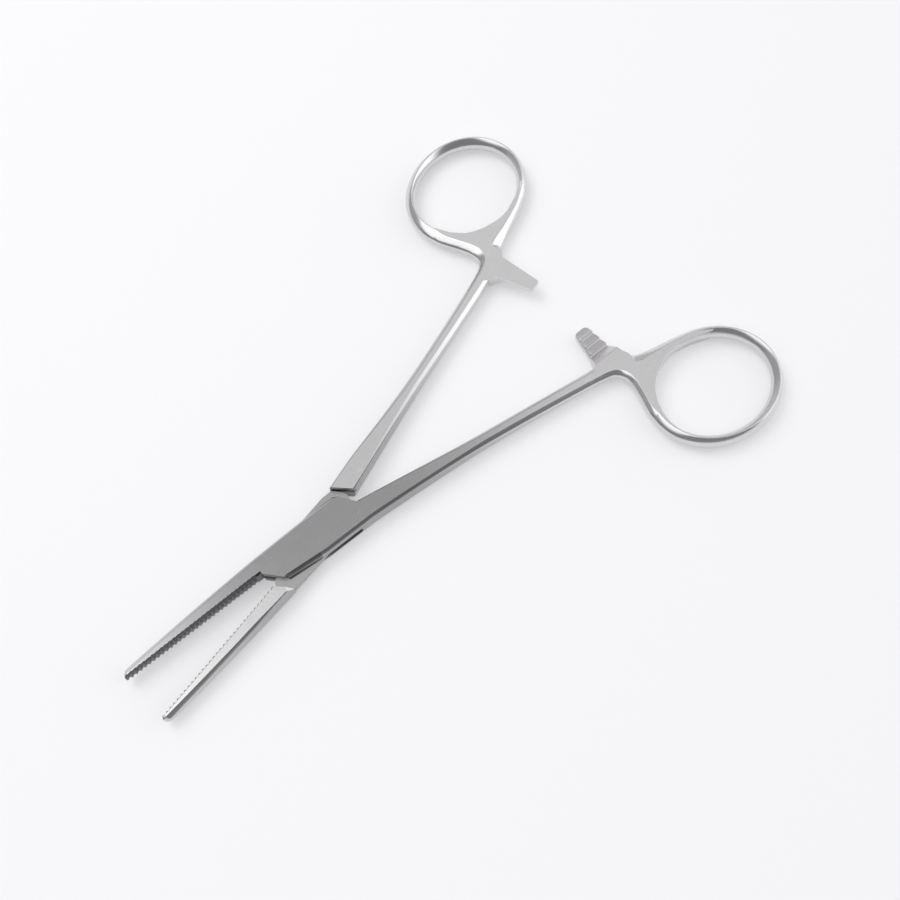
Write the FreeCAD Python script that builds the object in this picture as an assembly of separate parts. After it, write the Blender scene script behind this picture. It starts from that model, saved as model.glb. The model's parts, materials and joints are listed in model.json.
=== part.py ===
import FreeCAD, Part
import math
import os
from FreeCAD import Vector

# Hemostat forceps with a box lock, in millimetres.
# Two forged halves cross in the box lock. The female half has a slot between two cheeks, the thin
# tongue of the male half passes through it, and a rivet pin ground flush goes through all three.
# Both halves are drawn in the same closed position: the pivot at x = 0, y = 0, the handle towards
# +x at y < 0, the jaw towards -x at y > 0 and the middle plane at z = 0. The male half is then
# mirrored, and the two are turned apart to the rest opening and set down on the table at z = 0.

# Box lock
box_height = 4.6
box_outer = 4.9
box_back = 3.95
edge_inset = 0.65
back_inset = 0.95
seam_y = -0.37
rear_corner = (4.91, 2.92)
shank_start = 7.6
shank_start_inner = 0.95
front_corner = (-15.25, seam_y)
front_outer = (-12.45, -3.43)
box_front_outer = 3.75
box_front_overlap = 1.0
box_middle = -3.0
box_middle_back = 3.85
box_middle_outer = 4.85
cheek_thickness = 1.5
side_clearance = 0.05
web_clearance = 0.2

# Tongue of the male half
tongue_outer = 4.45
tongue_back = 4.2
tongue_front_back = 3.55
tongue_outer_turn = -4.6
tongue_front = (-15.38, -0.3)
tongue_rear_angle = 57.9
tongue_rear_reach = 6.5
tongue_rear_turn = 0.5
tongue_rear_slope = 2.4
rear_shoulder = ((6.36, -3.69), (8.28, -0.67))
front_shoulder = ((-15.65, 0.1), (-13.0, 3.9))
shoulder_overlap = 0.8
shoulder_reach = 2.5
male_outer = 4.5
facet_point = (-14.5, 2.2)
facet_slope = (0.5, 0.35, 0.8)

# Rivet pin
pin_radius = 1.5
pin_clearance = 0.04

# Jaws
jaw_root = -14.0
jaw_root_back = 3.55
jaw_belly = 0.22
jaw_spans = 5
jaw_tip = -45.7
jaw_tip_back = 1.5
jaw_tip_flat = 0.5
jaw_tip_height = 2.7
jaw_tip_round = 0.8
tooth_pitch = 0.94
tooth_depth = 0.42
tooth_count = 30
tooth_start = -16.5
jaw_gap = 0.06

# Shanks
shank_end = 62.0
shank_inner = 0.1
shank_waist = 34.8
shank_waist_width = 2.9
shank_end_width = 3.3
shank_end_height = 3.0
shank_taper = 1.4
shank_lean = 0.108
shank_sweep = 0.00046
shank_spans = 10

# Finger rings
ring_x = 78.97
ring_y = -26.5
hole_long = 12.85
hole_short = 10.55
hole_end_radius = 9.0
ring_tilt = -4.7
ring_wall = 2.35
ring_height = 4.0
ring_sides = 12
flat_height = 3.05
flat_slope = 0.03
flat_start = (67.0, -12.0)
grinding_stock = 0.1
ring_root_angle = 138.0
rim_shift = 0.8
rim_inset = 0.5
root_overlap = 3.0
root_inset = 0.12
flank_corner = (66.87, -12.85)
flank_radius = 3.2
flank_to_ring = (64.3, -22.6)
inner_corner = (70.3, -11.1)
inner_radius = 1.5
inner_to_ring = (82.0, -14.3)
flank_bevel = 1.8

# Ratchet
arm_reach = 0.6
arm_tip_width = 3.2
arm_tip_x = 67.0
arm_root_width = 5.4
arm_root_x = 66.8
arm_root_y = -8.2
arm_overlap = 1.5
arm_heel = 1.3
arm_corner = 0.6
arm_clearance = 0.05
tooth_bevel = 0.6
ratchet_pitch = 1.95
ratchet_teeth = 3
ratchet_depth = 0.5
ratchet_ramp = 1.2
first_notch_y = -1.4

# Pose at rest
rest_opening = 12.35

half_height = box_height / 2
slot_half = half_height - cheek_thickness
FAR = 200.0
SMALL = 1e-4


def barrel(x, low, low_top, high, high_top, half):
    """A section across the forging at x: flat top and bottom, both sides bowed out to mid height."""
    upper = (Vector(x, low_top, half), Vector(x, high_top, half))
    lower = (Vector(x, high_top, -half), Vector(x, low_top, -half))
    corners = upper + lower
    edges = [
        Part.LineSegment(corners[0], corners[1]).toShape(),
        Part.Arc(corners[1], Vector(x, high, 0), corners[2]).toShape(),
        Part.LineSegment(corners[2], corners[3]).toShape(),
        Part.Arc(corners[3], Vector(x, low, 0), corners[0]).toShape(),
    ]
    return Part.Wire(edges)


def half_barrel(x, straight, bow, bow_top, half):
    """A section with one straight upright side and one side bowed out to mid height."""
    upper = (Vector(x, straight, half), Vector(x, bow_top, half))
    lower = (Vector(x, bow_top, -half), Vector(x, straight, -half))
    corners = upper + lower
    edges = [
        Part.LineSegment(corners[0], corners[1]).toShape(),
        Part.Arc(corners[1], Vector(x, bow, 0), corners[2]).toShape(),
        Part.LineSegment(corners[2], corners[3]).toShape(),
        Part.LineSegment(corners[3], corners[0]).toShape(),
    ]
    return Part.Wire(edges)


def prism(points, bottom, top):
    """A plan outline of straight runs, carried from bottom to top."""
    wire = Part.makePolygon([Vector(x, y, bottom) for x, y in points + points[:1]])
    return Part.Face(wire).extrude(Vector(0, 0, top - bottom))


def left_of(start, end, half=FAR):
    """Everything to the left of the line from start to end, as one large block."""
    along = Vector(end[0] - start[0], end[1] - start[1], 0).normalize()
    across = Vector(-along.y, along.x, 0)
    near = [Vector(start[0], start[1], 0) + along * FAR * side for side in (-1, 1)]
    corners = [near[0], near[1], near[1] + across * FAR, near[0] + across * FAR]
    return prism([(c.x, c.y) for c in corners], -half, half)


def beyond(point, slope):
    """The space on the far side of a plane through a point. The slope points there."""
    block = Part.makeBox(2 * FAR, 2 * FAR, FAR, Vector(-FAR, -FAR, 0))
    block.Placement = FreeCAD.Placement(point, FreeCAD.Rotation(Vector(0, 0, 1), slope))
    return block


def shifted(start, end, distance):
    """The line from start to end, moved sideways to its left."""
    along = Vector(end[0] - start[0], end[1] - start[1], 0).normalize()
    across = Vector(-along.y, along.x, 0) * distance
    return (start[0] + across.x, start[1] + across.y), (end[0] + across.x, end[1] + across.y)


def oval_arcs(grow):
    """The four tangent arcs of the finger hole, grown outwards: centre, radius, first angle and sweep."""
    long_half, short_half, end_radius = hole_long + grow, hole_short + grow, hole_end_radius + grow
    squares = long_half * long_half + short_half * short_half
    side_radius = (squares - 2 * long_half * end_radius) / (2 * (short_half - end_radius))
    end_x, side_y = long_half - end_radius, short_half - side_radius
    turn = math.degrees(math.atan2(-side_y, end_x))
    return [
        (Vector(end_x, 0, 0), end_radius, -turn, 2 * turn),
        (Vector(0, side_y, 0), side_radius, turn, 180 - 2 * turn),
        (Vector(-end_x, 0, 0), end_radius, 180 - turn, 2 * turn),
        (Vector(0, -side_y, 0), side_radius, 180 + turn, 180 - 2 * turn),
    ]


def on_circle(centre, radius, degrees):
    """A point on a level circle."""
    angle = math.radians(degrees)
    return centre + Vector(radius * math.cos(angle), radius * math.sin(angle), 0)


def at_ring(shape, x, y):
    """Turns a shape by the ring's tilt and moves it to x, y."""
    shape.rotate(Vector(0, 0, 0), Vector(0, 0, 1), ring_tilt)
    shape.translate(Vector(x, y, 0))
    return shape


def oval_block(x, y, grow, half):
    """An upright block with the finger hole's outline, grown outwards."""
    edges = []
    for centre, radius, first, sweep in oval_arcs(grow):
        ends = [on_circle(centre, radius, first + share * sweep) for share in (0, 0.5, 1)]
        edges.append(Part.Arc(*ends).toShape())
    block = Part.Face(Part.Wire(edges)).extrude(Vector(0, 0, 2 * half))
    block.translate(Vector(0, 0, -half))
    return at_ring(block, x, y)


def round_uprights(solid, corners, radius):
    """Rounds the upright edges that stand at the given plan corners."""
    picked = []
    for edge in solid.Edges:
        ends = [v.Point for v in edge.Vertexes]
        upright = len(ends) == 2 and abs(ends[0].z - ends[1].z) > SMALL
        if upright and any(math.hypot(ends[0].x - x, ends[0].y - y) < SMALL for x, y in corners):
            picked.append(edge)
    return solid.makeFillet(radius, picked)


def shank_centre(x):
    """The shank's centre line: a gentle bow away from the closing line."""
    run = x - shank_start
    return -(box_outer + shank_inner) / 2 - shank_lean * run - shank_sweep * run * run


def shank_width(x):
    """The shank's width: it narrows fast behind the box lock, then widens a little towards the ring."""
    if x < shank_waist:
        share = (shank_waist - x) / (shank_waist - shank_start)
        root_width = box_outer - shank_inner
        return shank_waist_width + (root_width - shank_waist_width) * share**shank_taper
    share = (x - shank_waist) / (shank_end - shank_waist)
    return shank_waist_width + (shank_end_width - shank_waist_width) * share**2


def eased(share):
    """Goes from 0 to 1 with a level start and end."""
    return share * share * (3 - 2 * share)


def shank(start, root_outer):
    """The handle's shank: flat-topped at the box lock, rounder and slimmer towards the ring."""
    root_top = root_outer - edge_inset
    root = (-root_outer, -root_top, -shank_inner, -shank_start_inner, half_height)
    sections = [barrel(x, *root) for x in sorted({start, shank_start})]
    for span in range(1, shank_spans + 1):
        share = span / shank_spans
        x = shank_start + share * (shank_end - shank_start)
        half = half_height + (shank_end_height / 2 - half_height) * eased(share)
        centre = shank_centre(x)
        side = shank_width(x) / 2
        flat = side - edge_inset
        sections.append(barrel(x, centre - side, centre - flat, centre + side, centre + flat, half))
    return Part.makeLoft(sections, True, True)


def jaw(start):
    """The jaw: its inner side straight, its back half round, tapering to a blunt rounded tip."""
    sections = []
    root_flat = jaw_root_back - back_inset
    if start > jaw_root:
        sections.append(half_barrel(start, seam_y, jaw_root_back, root_flat, half_height))
    for span in range(jaw_spans + 1):
        share = span / jaw_spans
        belly = 4 * jaw_belly * share * (1 - share)
        x = jaw_root + share * (jaw_tip - jaw_root)
        back = jaw_root_back + share * (jaw_tip_back - jaw_root_back) + belly
        flat = root_flat + share * (jaw_tip_flat - root_flat) + belly
        half = half_height + share * (jaw_tip_height / 2 - half_height)
        sections.append(half_barrel(x, seam_y, back, flat, half))
    blank = Part.makeLoft(sections, True, True)
    end_edges = [e for e in blank.Edges if max(abs(v.X - jaw_tip) for v in e.Vertexes) < SMALL]
    rounded = [e for e in end_edges if max(v.Y for v in e.Vertexes) > seam_y + SMALL]
    return blank.makeFillet(jaw_tip_round, rounded)


def serration_cutter(phase):
    """Everything on the far side of the jaw's toothed face. The two jaws' phases differ in sign."""
    end_x = tooth_start - (tooth_count + 2) * tooth_pitch
    face = jaw_gap / 2
    points = [(front_corner[0], -FAR / 4), (front_corner[0], face), (tooth_start, face)]
    for step in range(1, 2 * tooth_count + 3):
        side = phase if step % 2 else -phase
        points.append((tooth_start - step * tooth_pitch / 2, face + side * tooth_depth / 2))
    points += [(end_x, face), (end_x, -FAR / 4)]
    return prism(points, -FAR / 4, FAR / 4)


def ring_section():
    """The ring's section at x = 0: a rounded bar, higher than wide, its flats tangent to an ellipse."""
    reach = 1 / math.cos(math.pi / ring_sides)
    corners = []
    for side in range(ring_sides + 1):
        angle = (side + 0.5) * 2 * math.pi / ring_sides
        across = reach * ring_wall / 2 * math.cos(angle)
        corners.append(Vector(across, 0, reach * ring_height / 2 * math.sin(angle)))
    return Part.Face(Part.makePolygon(corners))


def finger_ring():
    """The finger ring: the rounded bar turned about the centres of the oval's four arcs."""
    parts = []
    for centre, radius, first, sweep in oval_arcs(ring_wall / 2):
        section = ring_section()
        section.translate(Vector(radius, 0, 0))
        section.rotate(Vector(0, 0, 0), Vector(0, 0, 1), first)
        section.translate(centre)
        parts.append(section.revolve(centre, Vector(0, 0, 1), sweep))
    return at_ring(parts[0].fuse(parts[1:]), ring_x, ring_y)


def ground_slab():
    """The space between the two ground flats. Past the ring's root they lean apart and fade out."""
    half = flat_height / 2
    away = half + flat_slope * FAR
    outline = [(-FAR, -half), (0, -half), (FAR, -away), (FAR, away), (0, half), (-FAR, half)]
    wire = Part.makePolygon([Vector(x, -FAR, z) for x, z in outline + outline[:1]])
    slab = Part.Face(wire).extrude(Vector(0, 2 * FAR, 0))
    slab.rotate(Vector(0, 0, 0), Vector(0, 0, 1), ring_root_angle - 180)
    slab.translate(Vector(flat_start[0], flat_start[1], 0))
    return slab


def ring_root():
    """The web between shank and ring, with bevelled flanks, and the flat rim that fades round the ring."""
    half = ring_height / 2 + grinding_stock
    start_x = shank_end - root_overlap
    start_y = shank_centre(start_x)
    inset = shank_width(start_x) / 2 - root_inset
    heel_x = arm_root_x - arm_root_width / 2
    outline = [
        (start_x, start_y - inset),
        flank_corner,
        flank_to_ring,
        (ring_x, ring_y),
        inner_to_ring,
        inner_corner,
        (arm_root_x + arm_root_width / 2, arm_root_y),
        (heel_x, shank_centre(heel_x) + inset),
        (start_x, start_y + inset),
    ]
    web = prism(outline, -half, half)
    web = round_uprights(web, [flank_corner], flank_radius)
    web = round_uprights(web, [inner_corner], inner_radius)
    flanks = []
    for edge in web.Edges:
        middle = edge.valueAt((edge.FirstParameter + edge.LastParameter) / 2)
        level = abs(abs(middle.z) - half) < SMALL
        outside = math.hypot(middle.x - ring_x, middle.y - ring_y) > hole_short
        lower = middle.y < start_y - inset
        upper = middle.x > inner_corner[0]
        if level and outside and (lower or upper):
            flanks.append(edge)
    web = web.makeChamfer(flank_bevel, flanks)
    rim = oval_block(ring_x, ring_y, ring_wall / 2 + rim_inset, half)
    toward = math.radians(ring_root_angle)
    bore_x, bore_y = ring_x - rim_shift * math.cos(toward), ring_y - rim_shift * math.sin(toward)
    return web.fuse(rim).cut(oval_block(bore_x, bore_y, rim_shift, 2 * half))


def tooth_corners(level, crest):
    """What the bevel along the teeth takes off their corners on the shank's side."""
    run = (arm_root_width - arm_tip_width) / 2 + arm_tip_x - arm_root_x
    lean = run / (arm_reach - arm_root_y - arm_heel)
    edge = Vector(arm_tip_x - arm_tip_width / 2 + tooth_bevel, arm_reach, level * crest)
    last_notch = first_notch_y - (ratchet_teeth - 1) * ratchet_pitch
    teeth = Part.makeBox(2 * FAR, FAR, 2 * FAR, Vector(-FAR, last_notch, -FAR))
    return beyond(edge, Vector(-1, lean, -level)).common(teeth)


def ratchet_arm(level):
    """A ratchet arm. level 1 is the upper arm with teeth below, level -1 the lower one with teeth above."""
    crest = arm_clearance / 2
    back = flat_height / 2 + grinding_stock
    deep = arm_root_y - arm_overlap
    profile = [(arm_reach, back), (arm_reach, crest + ratchet_depth)]
    for tooth in range(ratchet_teeth):
        notch = first_notch_y - tooth * ratchet_pitch
        profile += [(notch, crest), (notch, crest + ratchet_depth)]
    profile += [(arm_root_y + ratchet_ramp, -back), (deep, -back), (deep, back)]
    wire = Part.makePolygon([Vector(0, y, level * z) for y, z in profile + profile[:1]])
    teeth = Part.Face(wire).extrude(Vector(FAR * 2, 0, 0))
    plan = prism(
        [
            (arm_root_x - arm_root_width / 2, deep),
            (arm_root_x + arm_root_width / 2, deep),
            (arm_root_x + arm_root_width / 2, arm_root_y),
            (arm_tip_x + arm_tip_width / 2, arm_reach),
            (arm_tip_x - arm_tip_width / 2, arm_reach),
            (arm_root_x - arm_root_width / 2, arm_root_y + arm_heel),
        ],
        -FAR,
        FAR,
    )
    tips = [(arm_tip_x + side * arm_tip_width / 2, arm_reach) for side in (-1, 1)]
    return teeth.common(round_uprights(plan, tips, arm_corner)).cut(tooth_corners(level, crest))


def handle(start, root_outer, level):
    """Shank, ring root, ratchet arm and finger ring as one forging."""
    ground = ring_root().fuse([ratchet_arm(level), finger_ring()]).common(ground_slab())
    return shank(start, root_outer).fuse(ground)


def tongue():
    """The male half's thin tongue, with both ends slanted to lie against the webs of the box."""
    tilt = math.radians(90 - tongue_rear_angle)
    normal = (math.cos(tilt), math.sin(tilt))
    rear_top = (tongue_rear_reach - normal[1] * tongue_back) / normal[0]
    rear_low = (tongue_rear_reach + normal[1] * tongue_rear_turn) / normal[0]
    shoulder_x, shoulder_y = front_shoulder[1]
    outline = [
        (rear_low + shoulder_overlap, -male_outer + shoulder_overlap),
        (rear_low - tongue_rear_slope, -tongue_outer),
        (tongue_outer_turn, -tongue_outer),
        (tongue_front[0], -tongue_front[1]),
        (shoulder_x - shoulder_overlap, shoulder_y - shoulder_overlap),
        (shoulder_x, tongue_front_back),
        (rear_top, tongue_back),
        (rear_low, -tongue_rear_turn),
    ]
    half = slot_half - side_clearance
    return prism(outline, -half, half)


def box_slot():
    """The slot through the box lock, ended by the two webs that join the cheeks."""
    front_web = shifted((tongue_outer_turn, tongue_outer), tongue_front, -web_clearance)
    tilt = math.radians(90 - tongue_rear_angle)
    reach = tongue_rear_reach + web_clearance
    foot = (reach * math.cos(tilt), -reach * math.sin(tilt))
    rear_web = (foot, (foot[0] + math.sin(tilt), foot[1] + math.cos(tilt)))
    return left_of(*front_web, slot_half).common(left_of(*rear_web, slot_half))


def box_lock():
    """The solid box, its rear and front edges slanted, before the slot is cut through it."""
    back_sizes = ((jaw_root, jaw_root_back), (box_middle, box_middle_back), (shank_start, box_back))
    front_x = front_corner[0] - box_front_overlap
    outer_sizes = ((front_x, box_front_outer), (box_middle, box_middle_outer), (shank_start, box_outer))
    back = [half_barrel(x, seam_y, y, y - back_inset, half_height) for x, y in back_sizes]
    outer = [half_barrel(x, seam_y, -y, edge_inset - y, half_height) for x, y in outer_sizes]
    outer_side = Part.makeLoft(outer, True, True).common(left_of(front_corner, front_outer))
    blank = Part.makeLoft(back, True, True).fuse(outer_side)
    return blank.common(left_of((shank_start, -shank_start_inner), rear_corner))


def pin_hole(radius):
    """A drill through the pivot, longer than the box is high."""
    return Part.makeCylinder(radius, 2 * box_height, Vector(0, 0, -box_height))


def female_half():
    """The half with the box: jaw, two cheeks and their webs, shank, lower ratchet arm and ring."""
    body = box_lock().fuse([jaw(jaw_root), handle(shank_start, box_outer, -1)])
    return body.cut([box_slot(), serration_cutter(1), pin_hole(pin_radius)])


def male_half():
    """The half with the tongue, drawn as the female half is and not yet mirrored."""
    handle_blank = handle(shank_start - shoulder_reach, male_outer, 1)
    handle_body = handle_blank.common(left_of(rear_shoulder[1], rear_shoulder[0]))
    jaw_body = jaw(jaw_root + shoulder_reach).common(left_of(*front_shoulder))
    for side in (1, -1):
        point = Vector(*facet_point, side * half_height)
        jaw_body = jaw_body.cut(beyond(point, Vector(*facet_slope[:2], side * facet_slope[2])))
    body = tongue().fuse([handle_body, jaw_body])
    return body.cut([serration_cutter(-1), pin_hole(pin_radius + pin_clearance)])


def pivot_pin():
    """The rivet pin, ground flush with both cheeks."""
    return Part.makeCylinder(pin_radius, box_height, Vector(0, 0, -half_height))


def placed(shape, mirrored):
    """Turns a half to its place at rest and sets it down on the table."""
    if mirrored:
        shape = shape.mirror(Vector(0, 0, 0), Vector(0, 1, 0))
    turn = rest_opening / 2 if mirrored else -rest_opening / 2
    shape.rotate(Vector(0, 0, 0), Vector(0, 0, 1), turn)
    shape.translate(Vector(0, 0, half_height))
    return shape


def main():
    """Builds the three pieces and writes one file for each."""
    os.makedirs("parts", exist_ok=True)
    pieces = {
        "female_half": placed(female_half(), False),
        "male_half": placed(male_half(), True),
        "pivot_pin": placed(pivot_pin(), False),
    }
    for name, shape in pieces.items():
        solid = shape.Solids[0] if len(shape.Solids) == 1 else shape
        solid.exportStep("parts/" + name + ".step")
        print(name, "solids", len(shape.Solids), "volume", round(shape.Volume, 2))


if __name__ == "__main__":
    main()
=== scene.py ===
"""Hemostat forceps with a box lock: smooth forged halves and satin steel, lit on a pale table.

Shapes are worked out in millimetres in a half's own frame. There the jaws are closed, the pivot is at
x = 0, y = 0, the handle runs towards +x at y < 0, the jaw towards -x at y > 0, and the middle plane of
the forging is z = 0. Both halves are then set down in the frame of the whole, in metres.
"""

import json
import logging
import math
from dataclasses import dataclass, field, fields
from enum import Enum
from typing import Callable

import bpy
import numpy as np
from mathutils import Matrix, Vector
from numpy.typing import NDArray

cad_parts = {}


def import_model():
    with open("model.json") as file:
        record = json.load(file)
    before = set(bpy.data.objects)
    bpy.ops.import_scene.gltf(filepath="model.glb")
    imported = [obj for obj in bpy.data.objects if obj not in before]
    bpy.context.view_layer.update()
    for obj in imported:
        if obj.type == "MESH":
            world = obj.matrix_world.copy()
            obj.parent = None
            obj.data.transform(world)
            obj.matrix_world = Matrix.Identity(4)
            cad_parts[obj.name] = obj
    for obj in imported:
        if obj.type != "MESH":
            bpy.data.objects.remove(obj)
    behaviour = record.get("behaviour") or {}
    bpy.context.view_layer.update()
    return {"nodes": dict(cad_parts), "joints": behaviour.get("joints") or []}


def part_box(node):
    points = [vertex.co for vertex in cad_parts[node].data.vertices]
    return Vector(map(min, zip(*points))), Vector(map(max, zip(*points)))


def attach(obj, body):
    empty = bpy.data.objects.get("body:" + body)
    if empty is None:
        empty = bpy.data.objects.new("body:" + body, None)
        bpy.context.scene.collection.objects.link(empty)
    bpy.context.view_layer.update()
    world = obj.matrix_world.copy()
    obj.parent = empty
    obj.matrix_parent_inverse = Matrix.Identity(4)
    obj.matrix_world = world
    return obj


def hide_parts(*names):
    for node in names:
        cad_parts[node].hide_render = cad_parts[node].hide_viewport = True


Array = NDArray[np.float64]
Slots = NDArray[np.int32]
Point = tuple[float, float]
Shell = tuple[Array, list[list[int]], list[int]]

LOG = logging.getLogger("forceps")
MM = 0.001
WHITE = (1.0, 1.0, 1.0, 1.0)


class Side(Enum):
    """Which half of the forceps a shape belongs to."""

    FEMALE = "female"
    MALE = "male"


class Zone(Enum):
    """The finish of a stretch of a forging. The toothed, hidden and shaded zones also carry painted shade in
    their dark colours. The values are material slots.
    """

    GROUND = 0
    POLISHED = 1
    TOOTHED = 2
    HIDDEN = 3
    SHADED = 4


def eased(share: Array) -> Array:
    """Goes from 0 to 1 with a level start and end: 3 s squared minus 2 s cubed.

    Args:
        share: Values that are cut off at 0 and 1.

    Returns:
        The eased values.
    """
    cut = np.clip(share, 0.0, 1.0)
    return cut * cut * (3.0 - 2.0 * cut)


def through(points: list[Point], count: int) -> Array:
    """A smooth plan curve through points, evenly spaced along its length.

    Between two points the curve is the Catmull-Rom cubic, whose slope at a point is half the step from
    the point before it to the point after it.

    Args:
        points: The plan points.
        count: How many points come back.

    Returns:
        An array of count rows of x and y.
    """
    given = np.array(points)
    padded = np.vstack([2 * given[0] - given[1], given, 2 * given[-1] - given[-2]])
    along = np.linspace(0.0, len(given) - 1.0, 60 * len(given))
    span = np.minimum(along.astype(int), len(given) - 2)
    t = (along - span)[:, None]
    before, start, end, after = (padded[span + k] for k in range(4))
    dense = 0.5 * (
        2 * start
        + (end - before) * t
        + (2 * before - 5 * start + 4 * end - after) * t**2
        + (3 * start - before - 3 * end + after) * t**3
    )
    lengths = np.concatenate([[0.0], np.cumsum(np.linalg.norm(np.diff(dense, axis=0), axis=1))])
    places = np.linspace(0.0, lengths[-1], count)
    return np.stack([np.interp(places, lengths, dense[:, axis]) for axis in (0, 1)], axis=1)


def through_corners(knots: tuple[Point, ...], count: int) -> Array:
    """A plan line straight from knot to knot, with a section at each corner.

    Args:
        knots: The corners.
        count: How many points come back, shared evenly between the straight runs.

    Returns:
        An array of rows of x and y.
    """
    along = np.linspace(0.0, len(knots) - 1.0, (len(knots) - 1) * (count // (len(knots) - 1)) + 1)
    given = np.array(knots)
    return np.stack([np.interp(along, np.arange(len(knots)), given[:, axis]) for axis in (0, 1)], axis=1)


@dataclass
class Flank:
    """One rounded side of a bar, from its middle plane up to its flat.

    The side is a conic curve. It starts upright at the silhouette, towards a handle straight above it,
    and comes in from the handle to the edge of the flat. The pull draws it towards the handle.

    Attributes:
        inset: How far inwards the flat's edge lies, one value for each section or one for all.
        flat: Half height of the flat at that edge, one value for each section.
        swell: Height of the handle, as a share of the flat's. 0.5 with no inset is an upright wall.
        pull: 1 for a parabola, and more for a wall and a chamfer with a rounded corner between them.
    """

    inset: Array | float
    flat: Array
    swell: Array | float = 0.5
    pull: Array | float = 1.0

    @classmethod
    def chain(cls, *parts: "Flank") -> "Flank":
        """One flank of several stretches, one after the other."""
        columns = [
            [np.broadcast_to(getattr(part, each.name), part.flat.shape) for part in parts]
            for each in fields(cls)
        ]
        return cls(*(np.concatenate(column) for column in columns))

    def rows(self, count: int, soft: Array | float, squeeze: Array) -> tuple[Array, Array]:
        """Points up the side, and across its softened edge.

        At t from 0 to 1 the shares of the foot, the handle and the flat's edge are (1 - t) squared,
        2 t (1 - t) times the pull, and t squared, each divided by the sum of the three.

        Args:
            count: Rows of points on the curve.
            soft: Width of the softened edge.
            squeeze: Factor on the inset, less than 1 where both flanks together need the whole width.

        Returns:
            Distance inwards and height, one row for each section.
        """
        inset = self.inset * squeeze
        handle = self.swell * self.flat
        pace = 2 * self.pull * np.hypot(inset, self.flat - handle) + 1e-6
        last = 1 - np.minimum(soft / pace, 0.3)
        t = last[:, None] * np.linspace(0.0, 1.0, count)
        pull = np.broadcast_to(self.pull, inset.shape)[:, None]
        handle_share = 2 * t * (1 - t) * pull
        total = (1 - t) ** 2 + handle_share + t**2
        inwards = inset[:, None] * t**2 / total
        height = (handle_share * handle[:, None] + t**2 * self.flat[:, None]) / total
        middle_in = 0.25 * inwards[:, -1] + 0.5 * inset + 0.25 * (inset + soft)
        middle_up = 0.25 * height[:, -1] + 0.75 * self.flat
        beside = np.column_stack([middle_in, inset + soft, inset + 1.5 * soft])
        return np.hstack([inwards, beside]), np.column_stack([height, middle_up, self.flat, self.flat])


@dataclass
class Bar:
    """A forged bar between two plan curves, rounded at both flanks and ground flat above and below.

    Attributes:
        right: Plan curve of the right side, one row for each section.
        left: Plan curve of the left side.
        right_flank: The right side's rounding.
        left_flank: The left side's rounding.
        soft: Width of the softened edges, one value for each section or one for all.
        flank_rows: Rows of points up a flank.
        flat_rows: Rows of points across the flat, between its softened edges.
    """

    right: Array
    left: Array
    right_flank: Flank
    left_flank: Flank
    soft: Array | float
    flank_rows: int = 13
    flat_rows: int = 6

    @classmethod
    def chain(cls, *parts: "Bar") -> "Bar":
        """One bar of several stretches, one after the other."""
        return cls(
            np.vstack([part.right for part in parts]),
            np.vstack([part.left for part in parts]),
            Flank.chain(*(part.right_flank for part in parts)),
            Flank.chain(*(part.left_flank for part in parts)),
            np.concatenate([np.broadcast_to(part.soft, len(part.right)) for part in parts]),
        )

    def before(self, x: float) -> int:
        """How many sections start before an x."""
        return int(np.count_nonzero(self.right[:, 0] < x))

    def grid(self, bend: Callable[[Array], Array] | None = None) -> Array:
        """The whole surface, section by section.

        Args:
            bend: Takes each point's share of the way across the flat, and gives the plan shift that
                bends straight sections.

        Returns:
            An array of sections, rows round a section, and x, y and z.
        """
        across = self.left - self.right
        width = np.linalg.norm(across, axis=1)
        room = (width - 3.4 * self.soft) / (self.right_flank.inset + self.left_flank.inset)
        squeeze = np.clip(room, 0.0, 1.0)
        right_in, right_up = self.right_flank.rows(self.flank_rows, self.soft, squeeze)
        left_in, left_up = self.left_flank.rows(self.flank_rows, self.soft, squeeze)
        start, end = right_in[:, -1:], width[:, None] - left_in[:, -1:]
        shares = np.linspace(0.0, 1.0, self.flat_rows + 2)[1:-1]
        flat_up = right_up[:, -1:] + (left_up[:, -1:] - right_up[:, -1:]) * shares
        place = np.hstack(
            [right_in, start + (end - start) * shares, width[:, None] - left_in[:, ::-1]]
        )
        up = np.hstack([right_up, flat_up, left_up[:, ::-1]])
        place = np.hstack([place, place[:, -2:0:-1]])
        up = np.hstack([up, -up[:, -2:0:-1]])
        plan = self.right[:, None, :] + across[:, None, :] * (place / width[:, None])[:, :, None]
        if bend is not None:
            plan = plan + bend(np.clip((place - start) / (end - start), 0.0, 1.0))
        return np.concatenate([plan, up[:, :, None]], axis=2)

    def zones(self, flank: Zone = Zone.POLISHED, toothed: int = 0, shaded: int = 0) -> Slots:
        """The finish of each face between two sections.

        Args:
            flank: The flanks' finish.
            toothed: How many of the first spans have teeth on the right.
            shaded: The span at which the shaded stretch of the right side after the teeth ends. That stretch
                gets painted shade.

        Returns:
            Material slots, one row for each section and one column for each strip round it.
        """
        flat = [Zone.GROUND.value] * (self.flat_rows + 5)
        top = [flank.value] * self.flank_rows + flat + [flank.value] * self.flank_rows
        slots = np.tile(np.array(top + top[::-1], dtype=np.int32), (len(self.right), 1))
        # The toothed and the shaded stretches take dark colours, which are painted shade.
        for spans, zone in ((slice(toothed), Zone.TOOTHED), (slice(toothed, shaded), Zone.SHADED)):
            slots[spans, : self.flank_rows + 1] = zone.value
            slots[spans, -self.flank_rows - 1 :] = zone.value
        return slots


def signed_volume(points: Array, faces: list[list[int]]) -> float:
    """The volume that faces enclose, negative where they point inwards.

    Each face is a fan of triangles, and a triangle adds a sixth of a . (b x c).

    Args:
        points: The vertices.
        faces: Vertex numbers of each face.

    Returns:
        The signed volume.
    """
    fans = [(face[0], face[k], face[k + 1]) for face in faces for k in range(1, len(face) - 1)]
    a, b, c = (points[np.array(fans)[:, corner]] for corner in range(3))
    return float(np.einsum("ij,ij->i", a, np.cross(b, c)).sum() / 6.0)


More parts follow.
